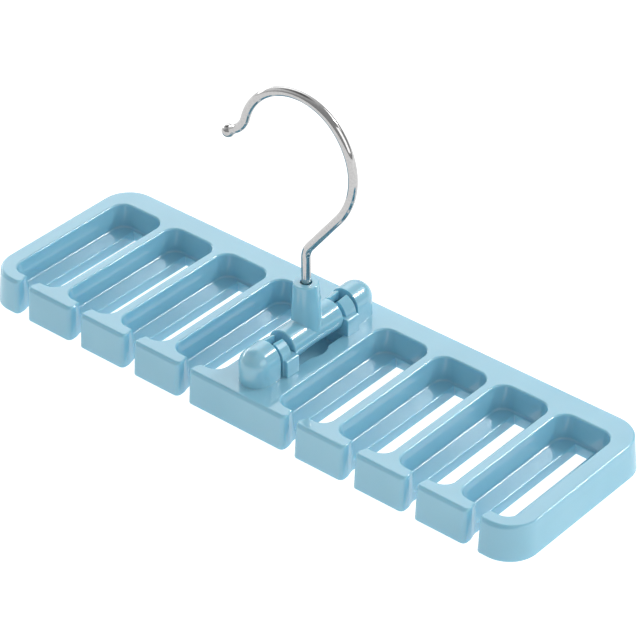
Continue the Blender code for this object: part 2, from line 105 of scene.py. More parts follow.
def unpolished_pocket(tree, place):
    """1 in the pocket under the barrel, 0 on the polished skin everywhere else."""
    split = add_node(tree, "ShaderNodeSeparateXYZ", links={"Vector": place.outputs["Object"]})
    deep = add_node(tree, "ShaderNodeMapRange",
                    values={"From Min": POCKET_TOP - POCKET_FADE, "From Max": POCKET_TOP,
                            "To Min": 1.0, "To Max": 0.0}, links={"Value": split.outputs["Z"]})
    inside = deep.outputs["Result"]
    for axis, half in zip("XY", POCKET_HALF):
        near = add_node(tree, "ShaderNodeMath", {"operation": 'COMPARE'}, {1: 0.0, 2: half},
                        {0: split.outputs[axis]})
        inside = add_node(tree, "ShaderNodeMath", {"operation": 'MULTIPLY'}, None,
                          {0: inside, 1: near.outputs["Value"]}).outputs["Value"]
    return inside


def moulded_abs():
    """Polished blue ABS, duller in the pocket under the barrel."""
    made, tree, shader = new_material("abs_light_blue_polished_mould")
    place = add_node(tree, "ShaderNodeTexCoord")
    pocket = unpolished_pocket(tree, place)
    flow = add_node(tree, "ShaderNodeTexNoise", values={"Scale": 1 / FLOW_WIDTH, "Detail": 2.0},
                    links={"Vector": place.outputs["Object"]})
    colour = add_node(tree, "ShaderNodeValToRGB", links={"Fac": flow.outputs["Fac"]})
    colour.color_ramp.elements[0].position = FLOW_EDGES[0]
    colour.color_ramp.elements[0].color = linear(PLASTIC_BLUE_DEEP)
    colour.color_ramp.elements[1].position = FLOW_EDGES[1]
    colour.color_ramp.elements[1].color = linear(PLASTIC_BLUE)
    peel = add_node(tree, "ShaderNodeTexNoise", values={"Scale": 1 / PEEL_WIDTH, "Detail": 1.0},
                    links={"Vector": place.outputs["Object"]})
    gloss = add_node(tree, "ShaderNodeMapRange",
                     values={"To Min": POLISHED_ROUGHNESS[0], "To Max": POLISHED_ROUGHNESS[1]},
                     links={"Value": peel.outputs["Fac"]})
    skin = add_node(tree, "ShaderNodeBump", values={"Strength": 1.0, "Distance": PEEL_DEPTH},
                    links={"Height": peel.outputs["Fac"]})
    tree.links.new(colour.outputs["Color"], shader.inputs["Base Color"])
    rough = add_node(tree, "ShaderNodeMath", {"operation": 'MULTIPLY_ADD'}, {1: POCKET_ADDED_ROUGHNESS},
                     {0: pocket, 2: gloss.outputs["Result"]})
    shine = add_node(tree, "ShaderNodeMapRange",
                     values={"To Min": POLISHED_SHINE, "To Max": POCKET_SHINE},
                     links={"Value": pocket})
    tree.links.new(rough.outputs["Value"], shader.inputs["Roughness"])
    tree.links.new(shine.outputs["Result"], shader.inputs["Specular IOR Level"])
    tree.links.new(skin.outputs["Normal"], shader.inputs["Normal"])
    shader.inputs["IOR"].default_value = ABS_IOR
    shader.inputs["Subsurface Weight"].default_value = GLOW_SHARE
    shader.inputs["Subsurface Radius"].default_value = GLOW_BY_COLOUR
    shader.inputs["Subsurface Scale"].default_value = GLOW_REACH
    return made


plastic = moulded_abs()


# Rack moulding, the comb
# One injection moulding: a plate with belt slots, each a wide trough whose floor is cut by a
# narrower slot, so that the belt's buckle rests on the ledges. Two noses make each slot's
# throat. Every edge is rounded, softly along the front and tightly round the troughs.

RACK_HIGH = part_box("comb_rack")[1]
HALF_LENGTH = RACK_HIGH.x
HALF_DEPTH = RACK_HIGH.y
PLATE_TOP = 0.0129
DRAFT = 0.0009                  # lean of the outer faces over the plate's height
PLATE_CORNER = 0.0110
SLOT_PITCH = 0.0249
CENTRE_BLOCK_PITCH = 0.0460
SLOTS_PER_SIDE = 4
ARM_TOP = 0.0035
ARM_LEDGE = 0.0048
TROUGH_CORNER = 0.0050
LEDGE = 0.0038
FLOOR_SLOT_LEDGE = 0.0072
FLOOR_SLOT_BOTTOM = 0.0062
FLOOR_SLOT_MARGIN = 0.0005
BACK_RAIL_TOP = 0.0100
BACK_RAIL_LEDGE = 0.0106
HEAD_DEPTH_TOP = 0.0063
HEAD_DEPTH_BOTTOM = 0.0077
NOSE_CORNER = 0.0018
NOSE_FLAT = 0.0008
THROAT_BOTTOM = 0.0043
THROAT_TOP = 0.0046
THROAT_BACK_TOP = 0.0058
CREASE_RADIUS = 0.0003          # behind each nose
FRONT_ROUND = 0.0014            # rounding between the top and the front faces
EDGE_ROUND = 0.0006             # rounding of the other top edges
FOOT_ROUND = 0.0003             # rounding of the bottom edges
LEDGE_FILLET = 0.0008           # where the trough's wall meets the ledge
LEDGE_ROUND = 0.0004            # the ledge's own edge over the floor slot
LEAST_RADIUS = 0.00002
ARC_STEPS = 12
CREASE_STEPS = 4
HEAD_STEPS = 4                  # along each head's straight back
FLOOR_SLOT_STEPS = 5            # where a floor slot widens from the crease
ROUND_STEPS = 6                 # of the top edges' rounding
FOOT_ROUND_STEPS = 3
LEDGE_ROUND_STEPS = 4
LEDGE_FILLET_STEPS = 5


def between(low, high, share):
    return low + (high - low) * share


def smooth(share):
    return (1 - math.cos(math.pi * min(max(share, 0.0), 1.0))) / 2


class Edge:
    """One step of an edge's rounding: how far in and how far down a point moves for a radius."""

    def __init__(self, turn, base, upwards=True):
        self.inward = 1 - math.cos(turn)
        self.drop = 1 - math.sin(turn)
        self.base, self.sign = base, 1 if upwards else -1

    def inset(self, radius):
        return radius * self.inward

    def height(self, radius):
        return self.base - self.sign * radius * self.drop


class Level:
    """A plain level of the outline at one height, with no rounding."""

    def __init__(self, height):
        self.base = height

    def inset(self, radius):
        return 0.0

    def height(self, radius):
        return self.base


class FootEdge:
    """The bottom edge's rounding has one small radius all round."""

    def __init__(self, edge):
        self.edge = edge

    def inset(self, radius):
        return self.edge.inset(FOOT_ROUND)

    def height(self, radius):
        return self.edge.height(FOOT_ROUND)


def corner(corner_x, corner_y, turn_x, turn_y, radius, low, high, edge, steps, outward=True):
    """A rounded plan corner from its X-facing side to its Y-facing side.

    corner_x and corner_y give the sharp corner's place at a height and inset. turn_x and
    turn_y point from it to the arc's middle. low and high are the rounding radii of the two
    sides' top edges, which run into each other round the corner.
    """
    points = []
    for step in range(steps + 1):
        angle = math.pi / 2 * step / steps
        round_here = between(low, high, smooth(step / steps))
        z = edge.height(round_here)
        inset_x, inset_y = edge.inset(low), edge.inset(high)
        sign = -1 if outward else 1
        reach_x = max(radius + sign * inset_x, LEAST_RADIUS)
        reach_y = max(radius + sign * inset_y, LEAST_RADIUS)
        x = corner_x(z, inset_x) + turn_x * reach_x * (1 - math.cos(angle))
        y = corner_y(z, inset_y) + turn_y * reach_y * (1 - math.sin(angle))
        points.append((x, y, z))
    return points


def share_of(height):
    """How far up the plate a height is, from 0 to 1."""
    return height / PLATE_TOP


def front_face(height, inset):
    return -HALF_DEPTH + DRAFT * share_of(height) + inset


def back_face(height, inset):
    return HALF_DEPTH - DRAFT * share_of(height) - inset


def end_face(height, inset):
    return HALF_LENGTH - DRAFT * share_of(height) - inset


def nose_face(height, inset):
    return between(THROAT_BOTTOM, THROAT_TOP, share_of(height)) / 2 + inset


def throat_back(height, inset):
    return between(FLOOR_SLOT_BOTTOM, THROAT_BACK_TOP, share_of(height)) / 2 + inset


def head_back(height, inset):
    return -HALF_DEPTH + between(HEAD_DEPTH_BOTTOM, HEAD_DEPTH_TOP, share_of(height)) - inset


def trough_share(height):
    return (height - LEDGE) / (PLATE_TOP - LEDGE)


def trough_wall(height, inset):
    return (SLOT_PITCH - between(ARM_LEDGE, ARM_TOP, trough_share(height))) / 2 + inset


def trough_back(height, inset):
    return HALF_DEPTH - between(BACK_RAIL_LEDGE, BACK_RAIL_TOP, trough_share(height)) + inset


def floor_slot_wall(height, inset):
    return between(FLOOR_SLOT_BOTTOM, FLOOR_SLOT_LEDGE, height / LEDGE) / 2 + inset


def mouth_side(edge):
    """Right half of a throat, from the front face over the nose to the crease behind it."""
    points = corner(nose_face, front_face, 1, 1, NOSE_CORNER, EDGE_ROUND, FRONT_ROUND, edge,
                    ARC_STEPS)
    points.reverse()
    inset = edge.inset(EDGE_ROUND)
    z = edge.height(EDGE_ROUND)
    nose_back = max(points[-1][1], front_face(z, 0) + NOSE_CORNER) + NOSE_FLAT
    end = head_back(z, inset) - max(CREASE_RADIUS, inset + LEAST_RADIUS)
    for step in range(1, ARC_STEPS + 1):
        share = step / ARC_STEPS
        points.append((between(nose_face(z, inset), throat_back(z, inset), smooth(share)),
                       between(nose_back, end, share), z))
    return points


def trough_side(edge, fillet=0.0):
    """Right half of a trough, from the crease to the middle of the back wall.

    fillet draws the outline in over the ledge, which fades out towards the crease.
    """
    z = edge.height(EDGE_ROUND)
    inset = edge.inset(EDGE_ROUND)
    points = corner(throat_back, head_back, 1, -1, CREASE_RADIUS, EDGE_ROUND, EDGE_ROUND, edge,
                    CREASE_STEPS)[1:]
    start = points[-1][0]
    corner_start = trough_wall(z, inset) - TROUGH_CORNER - inset
    front = head_back(z, inset)
    for step in range(1, HEAD_STEPS):
        share = step / HEAD_STEPS
        points.append((between(start, corner_start, share), front + fillet * smooth(share), z))
    wall = trough_wall(z, inset) - fillet
    back = trough_back(z, inset) - fillet
    radius = TROUGH_CORNER + inset - fillet
    for centre_y, first, last in ((front + fillet + radius, -90, 0), (back - radius, 0, 90)):
        for step in range(ARC_STEPS + 1):
            angle = math.radians(between(first, last, step / ARC_STEPS))
            points.append((wall - radius + radius * math.cos(angle),
                           centre_y + radius * math.sin(angle), z))
    return points


def floor_slot_side(z, inset):
    """Right half of a floor slot, from the crease to its back corner."""
    crease = head_back(z, 0) - CREASE_RADIUS
    straight = crease + FLOOR_SLOT_LEDGE / 2
    points = []
    for step in range(1, FLOOR_SLOT_STEPS + 1):
        share = step / FLOOR_SLOT_STEPS
        x = between(throat_back(z, 0), floor_slot_wall(z, inset), smooth(share))
        points.append((x, between(crease, straight, share), z))
    back = HALF_DEPTH - BACK_RAIL_LEDGE - LEDGE_FILLET - FLOOR_SLOT_MARGIN + inset
    wall = floor_slot_wall(z, inset)
    points.append((wall, between(straight, back, 0.5), z))
    points += corner(lambda h, i: wall, lambda h, i: back, -1, -1, CREASE_RADIUS, 0, 0,
                     Level(z), CREASE_STEPS, outward=False)
    return points


def outer_side(edge):
    """Right end of the plate: front corner, end face and back corner."""
    front = corner(end_face, front_face, -1, 1, PLATE_CORNER, EDGE_ROUND, FRONT_ROUND, edge,
                   2 * ARC_STEPS)
    back = corner(end_face, back_face, -1, -1, PLATE_CORNER, EDGE_ROUND, EDGE_ROUND, edge,
                  2 * ARC_STEPS)
    return list(reversed(front)) + back


def slot_centres():
    right = [CENTRE_BLOCK_PITCH / 2 + SLOT_PITCH * index for index in range(SLOTS_PER_SIDE)]
    return [-x for x in reversed(right)] + right


class Ring:
    """One ring of vertices round the comb: the shared outer stretches and a chain in each slot."""

    def __init__(self, mesh, edge, inner_side, outer_from=None):
        self.inner = []
        mouth, inner, end = mouth_side(edge), inner_side, outer_side(edge)
        self.outer = outer_from.outer if outer_from else []
        for slot_x in slot_centres():
            left = [(slot_x - x, y, z) for x, y, z in mouth]
            right = [(slot_x + x, y, z) for x, y, z in reversed(mouth)]
            if not outer_from:
                self.outer += [self.place(mesh, left), self.place(mesh, right)]
            chain = [(slot_x - x, y, z) for x, y, z in inner]
            chain += [(slot_x + x, y, z) for x, y, z in reversed(inner)]
            self.inner.append(self.place(mesh, chain))
        if not outer_from:
            round_the_back = end + [(-x, y, z) for x, y, z in reversed(end)]
            self.outer.append(self.place(mesh, round_the_back))

    @staticmethod
    def place(mesh, points):
        return [mesh.verts.new(point) for point in points]

    def loop(self):
        vertices = []
        for index, chain in enumerate(self.inner):
            vertices += self.outer[2 * index] + chain + self.outer[2 * index + 1]
        return vertices + self.outer[-1]


def bridge(mesh, low, high):
    """Faces between two closed loops of as many vertices each."""
    for index in range(len(low)):
        after = (index + 1) % len(low)
        mesh.faces.new((low[index], low[after], high[after], high[index]))


def quarter(steps):
    """The angles of a quarter turn."""
    return [math.pi / 2 * step / steps for step in range(steps + 1)]


def comb_mesh():
    """The comb lofted from its bottom edge over the ledges to its rounded top."""
    mesh = bmesh.new()
    below = None
    for turn in reversed(quarter(FOOT_ROUND_STEPS)):
        edge = Edge(turn, 0.0, upwards=False)
        inset = FOOT_ROUND * edge.inward
        ring = Ring(mesh, FootEdge(edge), floor_slot_side(edge.height(FOOT_ROUND), inset))
        if below is None:
            mesh.faces.new(list(reversed(ring.loop())))
        else:
            bridge(mesh, below.loop(), ring.loop())
        below = ring
    for turn in quarter(LEDGE_ROUND_STEPS):
        rise = LEDGE - LEDGE_ROUND * (1 - math.sin(turn))
        inset = LEDGE_ROUND * (1 - math.cos(turn))
        ring = Ring(mesh, Level(rise), floor_slot_side(rise, inset))
        bridge(mesh, below.loop(), ring.loop())
        below = ring
    ledge = Ring(mesh, Level(LEDGE), trough_side(Level(LEDGE), LEDGE_FILLET), outer_from=below)
    for index, chain in enumerate(below.inner):
        left, right = below.outer[2 * index][-1], below.outer[2 * index + 1][0]
        mesh.faces.new([left] + ledge.inner[index] + [right] + list(reversed(chain)))
    below = ledge
    for turn in quarter(LEDGE_FILLET_STEPS)[1:]:
        rise = LEDGE + LEDGE_FILLET * (1 - math.cos(turn))
        fillet = LEDGE_FILLET * (1 - math.sin(turn))
        ring = Ring(mesh, Level(rise), trough_side(Level(rise), fillet))
        bridge(mesh, below.loop(), ring.loop())
        below = ring
    for turn in quarter(ROUND_STEPS):
        edge = Edge(turn, PLATE_TOP)
        ring = Ring(mesh, edge, trough_side(edge))
        bridge(mesh, below.loop(), ring.loop())
        below = ring
    mesh.faces.new(below.loop())
    return mesh


# Clips, end stops and the recess between them
# All one moulding with the comb: two C clips on their feet hold the tee's journals, a domed
# stop stands behind each, and the plate is recessed under the barrel, with a round bulge on
# each side under the stem.

AXLE = pivots["tee_tilt"]
BARREL_HALF = 0.0122
BARREL_TO_CLIP = 0.0018
CLIP_WIDTH = 0.0047
CLIP_MOUTH = 0.0032
CLIP_BORE = 0.0025              # radius
JAW_AT_BARREL = 0.0056          # the jaws' outer radius, drawn in towards the barrel
JAW_AT_STOP = 0.0061
JAW_DROP = 0.0007               # the outer curve's centre below the axle
BARREL_TO_FOOT = 0.0003
FOOT_SET_IN = 0.0003            # the foot's far face short of the jaws' far face
FOOT_RISE = 0.0002              # the foot's shoulder above the axle
FOOT_HALF_WIDTH = 0.0076
FOOT_NEAR = BARREL_HALF + BARREL_TO_FOOT
FOOT_FAR = BARREL_HALF + BARREL_TO_CLIP + CLIP_WIDTH - FOOT_SET_IN
FOOT_TOP = AXLE.z + FOOT_RISE
FOOT_CORNER = 0.0009
FOOT_NOTCH = 0.0026             # radius
CLIP_TO_STOP = 0.0011
STOP_RADIUS = 0.0059
STOP_LENGTH = 0.0112
STOP_UPRIGHT = 0.0063           # the height of the stop's upright sides
STOP_SPRING = PLATE_TOP + STOP_UPRIGHT
STOP_FILLET = 0.0002
RECESS_HALF_WIDTH = 0.0056
RECESS_END_CLEARANCE = 0.0002
RECESS_END = BARREL_HALF + RECESS_END_CLEARANCE
RECESS_FLOOR = 0.0078
RECESS_ROUND = 0.0003
RELIEF_RADIUS = 0.0072
SUNK = 0.0010                   # how deep each shape runs into the plate before it is joined
FOOT_BEVEL = 0.0003
CLIP_BEVEL = 0.00025
STOP_BEVEL = 0.00035
BEVEL_STEPS = 3
BEVELLED_ANGLE = math.radians(50)
JAW_STEPS = 16
BORE_STEPS = 40
FOOT_CORNER_STEPS = 5
NOTCH_STEPS = 24
STOP_FILLET_STEPS = 4
DOME_STEPS = 14
STOP_TURN_STEPS = 40            # round the far side of a stop
RECESS_FLOOR_STEPS = 3
RECESS_EDGE_STEPS = 4
BULGE_STEPS = 16
SHARP_ANGLE = math.radians(38)  # past which an edge stays sharp to the light
FACE_WEIGHT = 100               # large faces keep their own normals, so that flats reflect flat


def loft(rings, closed_ends=True):
    """A bmesh through rings of as many points each."""
    mesh = bmesh.new()
    placed = [[mesh.verts.new(point) for point in ring] for ring in rings]
    for low, high in zip(placed, placed[1:]):
        bridge(mesh, low, high)
    if closed_ends:
        mesh.faces.new(list(reversed(placed[0])))
        mesh.faces.new(placed[-1])
    return mesh


def shape(name, mesh, bevel=0.0):
    """A plain object for joining or cutting, with its sharp edges broken by bevel."""
    bmesh.ops.recalc_face_normals(mesh, faces=mesh.faces)
    data = bpy.data.meshes.new(name)
    mesh.to_mesh(data)
    mesh.free()
    made = bpy.data.objects.new(name, data)
    bpy.context.scene.collection.objects.link(made)
    if bevel:
        broken = made.modifiers.new("broken edges", 'BEVEL')
        broken.width = bevel
        broken.segments = BEVEL_STEPS
        broken.limit_method = 'ANGLE'
        broken.angle_limit = BEVELLED_ANGLE
    return made


def plain_mesh(holder):
    """The evaluated result of an object's modifiers, as a mesh of its own; the object goes."""
    evaluated = holder.evaluated_get(bpy.context.evaluated_depsgraph_get())
    data = bpy.data.meshes.new_from_object(evaluated)
    data.name = holder.name
    bpy.data.objects.remove(holder)
    return data


def upright_arc(centre_z, radius, first, last, steps):
    """(x, z) points of an arc about a line along the axle."""
    angles = [math.radians(between(first, last, step / steps)) for step in range(steps + 1)]
    return [(radius * math.cos(angle), centre_z + radius * math.sin(angle)) for angle in angles]


def clip_outline(radius):
    """(x, z) points of a C clip, open at the top, whose outer curve has this radius."""
    end = math.degrees(math.acos(CLIP_MOUTH / 2 / radius))
    bore_end = math.degrees(math.acos(CLIP_MOUTH / 2 / CLIP_BORE))
    right = [(radius, PLATE_TOP - SUNK)]
    right += upright_arc(AXLE.z - JAW_DROP, radius, 0, end, JAW_STEPS)
    inside = upright_arc(AXLE.z, CLIP_BORE, bore_end, -180 - bore_end, BORE_STEPS)
    return right + inside + [(-x, z) for x, z in reversed(right)]


def clip_shape():
    """The clip behind the barrel."""
    near = AXLE.y + BARREL_HALF + BARREL_TO_CLIP
    faces = ((near, JAW_AT_BARREL), (near + CLIP_WIDTH, JAW_AT_STOP))
    return loft([[(x, y, z) for x, z in clip_outline(radius)] for y, radius in faces])


def foot_shape():
    """The block under that clip, with a round notch in its top for the journal."""
    right = [(FOOT_HALF_WIDTH, PLATE_TOP - SUNK)]
    for turn in quarter(FOOT_CORNER_STEPS):
        right.append((FOOT_HALF_WIDTH - FOOT_CORNER * (1 - math.cos(turn)),
                      FOOT_TOP - FOOT_CORNER * (1 - math.sin(turn))))
    start = math.degrees(math.asin((FOOT_TOP - AXLE.z) / FOOT_NOTCH))
    inside = upright_arc(AXLE.z, FOOT_NOTCH, start, -180 - start, NOTCH_STEPS)
    outline = right + inside + [(-x, z) for x, z in reversed(right)]
    return loft([[(x, AXLE.y + y, z) for x, z in outline] for y in (FOOT_NEAR, FOOT_FAR)])


def stop_shape():
    """A bullet with upright sides, a domed top and a flat face towards the clip."""
    flat = AXLE.y + BARREL_HALF + BARREL_TO_CLIP + CLIP_WIDTH + CLIP_TO_STOP
    centre = flat + STOP_LENGTH - STOP_RADIUS
    profile = [(STOP_FILLET, PLATE_TOP - SUNK)]
    for turn in quarter(STOP_FILLET_STEPS):
        profile.append((STOP_FILLET * (1 - math.sin(turn)),
                        PLATE_TOP + STOP_FILLET * (1 - math.cos(turn))))
    for turn in quarter(DOME_STEPS)[:-1]:
        profile.append((STOP_RADIUS * (math.cos(turn) - 1), STOP_SPRING + STOP_RADIUS * math.sin(turn)))
    steps = STOP_TURN_STEPS
    rings = []
    for out, z in profile:
        radius = STOP_RADIUS + out
        front = flat - max(out, 0.0)
        ring = [(radius, between(front, centre, share), z) for share in (0.0, 0.5)]
        for step in range(steps + 1):
            angle = math.pi * step / steps
            ring.append((radius * math.cos(angle), centre + radius * math.sin(angle), z))
        ring += [(-radius, between(front, centre, share), z) for share in (0.5, 0.0)]
        rings.append(ring)
    mesh = loft(rings, closed_ends=False)
    mesh.verts.ensure_lookup_table()
    count = len(rings[0])
    last = mesh.verts[-count:]
    top = STOP_SPRING + STOP_RADIUS
    pole = mesh.verts.new((0, centre, top))
    ridge = [mesh.verts.new((0, between(flat, centre, share), top)) for share in (0.5, 0.0)]
    for step in range(2, steps + 2):
        mesh.faces.new((last[step], last[step + 1], pole))
    mesh.faces.new((last[1], last[2], pole, ridge[0]))
    mesh.faces.new((last[0], last[1], ridge[0], ridge[1]))
    mesh.faces.new((last[steps + 2], last[steps + 3], ridge[0], pole))
    mesh.faces.new((last[steps + 3], last[steps + 4], ridge[1], ridge[0]))
    mesh.faces.new(list(reversed(mesh.verts[:count])))
    return mesh


def close_flat_face(mesh):
    """Fill the stop's flat face, the one hole that its loft leaves."""
    open_edges = [edge for edge in mesh.edges if edge.is_boundary]
    bmesh.ops.edgeloop_fill(mesh, edges=open_edges)
    return mesh


def recess_shape():
    """What is taken out of the plate under the barrel, wider at its top for a broken edge."""
    rings = []
    levels = [(-RECESS_ROUND * (1 - math.sin(turn)), RECESS_FLOOR + RECESS_ROUND * (1 - math.cos(turn)))
              for turn in quarter(RECESS_FLOOR_STEPS)]
    levels += [(RECESS_ROUND * (1 - math.cos(turn)), PLATE_TOP - RECESS_ROUND * (1 - math.sin(turn)))
               for turn in quarter(RECESS_EDGE_STEPS)]
    levels.append((RECESS_ROUND, PLATE_TOP + SUNK))
    for out, z in levels:
        half, relief, end = RECESS_HALF_WIDTH + out, RELIEF_RADIUS + out, RECESS_END + out
        meet = math.acos(half / relief)
        bulge = [between(-meet, meet, step / BULGE_STEPS) for step in range(BULGE_STEPS + 1)]
        right = [(half, -end)] + [(relief * math.cos(a), relief * math.sin(a)) for a in bulge]
        right.append((half, end))
        outline = right + [(-x, -y) for x, y in right]
        rings.append([(x, AXLE.y + y, z) for x, y in outline])
    return loft(rings)


def geometry_tree(name, inputs):
    """An empty Geometry Nodes tree with named number inputs, and its two end nodes."""
    tree = bpy.data.node_groups.new(name, 'GeometryNodeTree')
    tree.interface.new_socket("Geometry", in_out='INPUT', socket_type='NodeSocketGeometry')
    for label, kind in inputs.items():
        tree.interface.new_socket(label, in_out='INPUT', socket_type=kind)
    tree.interface.new_socket("Geometry", in_out='OUTPUT', socket_type='NodeSocketGeometry')
    return tree, add_node(tree, "NodeGroupInput"), add_node(tree, "NodeGroupOutput")


def end_tree(tree, last, material, output):
    """Close a tree: its instances become real geometry with their material."""
    real = add_node(tree, "GeometryNodeRealizeInstances", links={"Geometry": last})
    painted = add_node(tree, "GeometryNodeSetMaterial", values={"Material": material},
                       links={"Geometry": real.outputs["Geometry"]})
    tree.links.new(painted.outputs["Geometry"], output.inputs["Geometry"])


def run_tree(holder, tree, values):
    """Put the tree on an object with its input values, and return the plain mesh it makes."""
    modifier = holder.modifiers.new(tree.name, 'NODES')
    modifier.node_group = tree
    for socket in tree.interface.items_tree:
        if socket.in_out == 'INPUT' and socket.name in values:
            modifier[socket.identifier] = values[socket.name]
    return plain_mesh(holder)


def both_ends_tree():
    """Copies of one end's shapes, turned about the stem so that each end of the barrel has one."""
    tree, given, output = geometry_tree("both_ends", {"Ends": 'NodeSocketInt', "Middle": 'NodeSocketVector'})
    one = add_node(tree, "GeometryNodeGeometryToInstance", links={"Geometry": given.outputs["Geometry"]})
    copies = add_node(tree, "GeometryNodeDuplicateElements", {"domain": 'INSTANCE'},
                      links={"Geometry": one.outputs["Instances"], "Amount": given.outputs["Ends"]})
    share = add_node(tree, "ShaderNodeMath", {"operation": 'DIVIDE'})
    tree.links.new(copies.outputs["Duplicate Index"], share.inputs[0])
    tree.links.new(given.outputs["Ends"], share.inputs[1])
    turn = add_node(tree, "ShaderNodeMath", {"operation": 'MULTIPLY'}, values={1: 2 * math.pi},
                    links={0: share.outputs["Value"]})
    spin = add_node(tree, "ShaderNodeCombineXYZ", links={"Z": turn.outputs["Value"]})
    placed = add_node(tree, "GeometryNodeRotateInstances", values={"Local Space": False},
                      links={"Instances": copies.outputs["Geometry"], "Rotation": spin.outputs["Vector"],
                             "Pivot Point": given.outputs["Middle"]})
    end_tree(tree, placed.outputs["Instances"], plastic, output)
    return tree


def joined(target, tools):
    """The target with each (operation, tool) applied in turn, as a plain mesh."""
    for operation, tool in tools:
        step = target.modifiers.new(operation.lower(), 'BOOLEAN')
        step.operation = operation
        step.solver = 'EXACT'
        step.object = tool
    result = plain_mesh(target)
    for operation, tool in tools:
        bpy.data.objects.remove(tool)
    return result


def new_piece(name, data, material, body, replaced):
    """A finished piece, smooth but for its real edges, that rides on its body for its node."""
    data.materials.clear()
    data.materials.append(material)
    data.shade_smooth()
    data.set_sharp_from_angle(angle=SHARP_ANGLE)
    piece = bpy.data.objects.new(name, data)
    bpy.context.scene.collection.objects.link(piece)
    weighted = piece.modifiers.new("even gloss", 'WEIGHTED_NORMAL')
    weighted.keep_sharp = True
    weighted.weight = FACE_WEIGHT
    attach(piece, body)
    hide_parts(replaced)
    return piece


both_ends = both_ends_tree()
ends = {}
for part, mesh, bevel in (("feet", foot_shape(), FOOT_BEVEL), ("clips", clip_shape(), CLIP_BEVEL),
                          ("stops", close_flat_face(stop_shape()), STOP_BEVEL)):
    one_end = shape("one_of_the_" + part, mesh, bevel)
    pair = run_tree(one_end, both_ends, {"Ends": 2, "Middle": (AXLE.x, AXLE.y, 0.0)})
    ends[part] = bpy.data.objects.new(part, pair)
    bpy.context.scene.collection.objects.link(ends[part])

rack_data = joined(shape("rack_moulding", comb_mesh()), [
    ('DIFFERENCE', shape("recess", recess_shape())),
    ('UNION', ends["feet"]),
    ('UNION', ends["clips"]),
    ('UNION', ends["stops"])])
new_piece("rack_moulding", rack_data, plastic, "rack", "comb_rack")


# Tee
# The second moulding: a slightly waisted barrel that tilts in the clips, with a journal at
# each end, and a tapered sleeve as wide as the barrel's waist, which holds the hook's stem.

BARREL_END_RADIUS = 0.0058
BARREL_WAIST_RADIUS = 0.00545
BARREL_STEPS = 8                # rings along each half
BARREL_ROUND = 0.0004
JOURNAL_RADIUS = 0.0022
JOURNAL_TO_STOP = 0.0004
JOURNAL_END = BARREL_HALF + BARREL_TO_CLIP + CLIP_WIDTH + CLIP_TO_STOP - JOURNAL_TO_STOP
SLEEVE_TOP = pivots["hook_swivel"].z - AXLE.z
SLEEVE_TOP_RADIUS = 0.0044
SLEEVE_FOOT_RADIUS = 0.00535    # at the axle's height
SLEEVE_ROUND = 0.0005
SLEEVE_FILLET = 0.0003          # where the sleeve meets the barrel's top
SLEEVE_SIDE_FILLET = 0.00004    # the same at the barrel's sides, where the two are flush
BORE_RADIUS = 0.0020
BORE_ROUND = 0.0002
WASHER_SEAT = 0.0042            # the washer's pocket in the underside, below the axle
WASHER_POCKET = 0.0033          # radius
SLEEVE_CORE = 0.001             # radius of the sleeve's closed end inside the barrel
SLEEVE_SUNK = 0.0005            # how deep the sleeve's side runs into the barrel
SLEEVE_TUCK = 0.0001            # how far its foot narrows there
SKIN_OVERLAP = 0.00003          # keeps the fillet's edge just under the barrel's skin
CROSSING_TRIES = 20
TURN_STEPS = 96
SLEEVE_FILLET_STEPS = 5
SLEEVE_TOP_STEPS = 4
BORE_EDGE_STEPS = 4


def turned_rings(profile, axis='Z'):
    """Rings round an axis through the tee's axle from (radius, height) points."""
    rings = []
    for radius, height in profile:
        ring = []
        for step in range(TURN_STEPS):
            angle = 2 * math.pi * step / TURN_STEPS
            across, side = radius * math.cos(angle), radius * math.sin(angle)
            local = Vector((across, side, height) if axis == 'Z' else (across, height, side))
            ring.append(AXLE + local)
        rings.append(ring)
    return rings


def rounded_end(radius, height, rounding, way=1, steps=5):
    """(radius, height) points of a turned body's rounded outer edge; way is -1 for a low end."""
    points = [(radius - rounding * (1 - math.cos(turn)), height - way * rounding * (1 - math.sin(turn)))
              for turn in quarter(steps)]
    return points if way > 0 else list(reversed(points))


def barrel_radius(along):
    return between(BARREL_WAIST_RADIUS, BARREL_END_RADIUS, abs(along) / BARREL_HALF)


def barrel_shape():
    flank = BARREL_HALF - BARREL_ROUND
    places = [flank * step / BARREL_STEPS for step in range(1, BARREL_STEPS)]
    high = [(barrel_radius(place), place) for place in places]
    high += rounded_end(BARREL_END_RADIUS, BARREL_HALF, BARREL_ROUND)
    high.append((JOURNAL_RADIUS, BARREL_HALF))
    high += rounded_end(JOURNAL_RADIUS, JOURNAL_END, BARREL_ROUND)
    low = [(radius, -height) for radius, height in reversed(high)]
    return loft(turned_rings(low + [(BARREL_WAIST_RADIUS, 0.0)] + high, 'Y'))


def barrel_top(across, along):
    """The height of the barrel's skin over the axle."""
    return math.sqrt(max(barrel_radius(along) ** 2 - across ** 2, 0.0))


def sleeve_radius(height):
    return between(SLEEVE_FOOT_RADIUS, SLEEVE_TOP_RADIUS, height / (SLEEVE_TOP - SLEEVE_ROUND))


def sleeve_foot(along_x, along_y):
    """Where the sleeve's bare wall would meet the barrel's skin in one direction."""
    height = SLEEVE_TOP / 2
    for attempt in range(CROSSING_TRIES):
        radius = sleeve_radius(height)
        height = barrel_top(radius * along_x, radius * along_y)
    return radius, height


